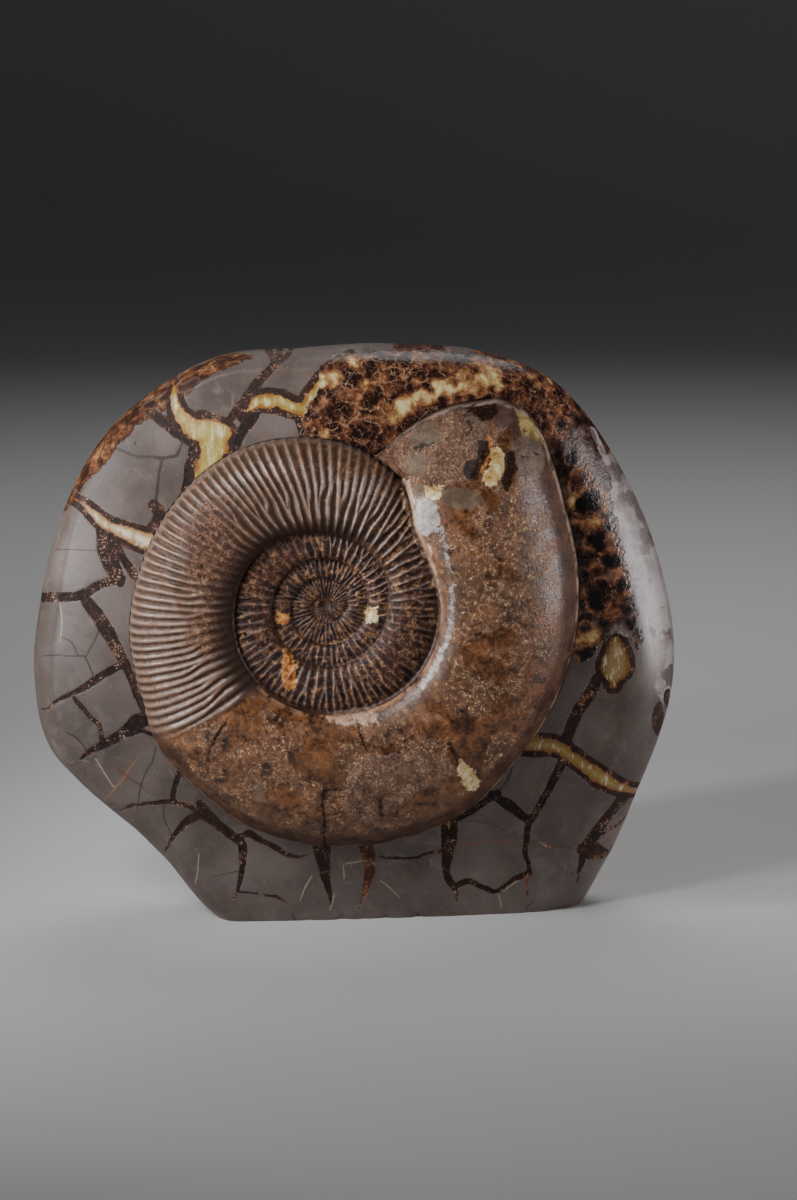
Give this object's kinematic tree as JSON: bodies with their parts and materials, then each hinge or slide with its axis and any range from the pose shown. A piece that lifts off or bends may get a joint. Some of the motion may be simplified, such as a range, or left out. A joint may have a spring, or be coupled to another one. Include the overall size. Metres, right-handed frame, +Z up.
{
  "type": "ammonite in septarian nodule",
  "caption": "Polished grey septarian nodule with brown and yellow calcite veins and a large raised ammonite, standing on a sawn base.",
  "frame": {"origin": "under the middle of the stone, on the surface that its sawn base stands on", "axes": "+Z up, the polished face with the ammonite looks along -Y, +X to the right as seen from the front"},
  "size_m": [0.4548, 0.1481, 0.4081],
  "materials": {
    "septarian_stone": "polished",
    "fossil_shell": "satin"
  },
  "bodies": {
    "root": {"nodule": "septarian_stone", "ammonite": "fossil_shell"}
  },
  "joints": []
}
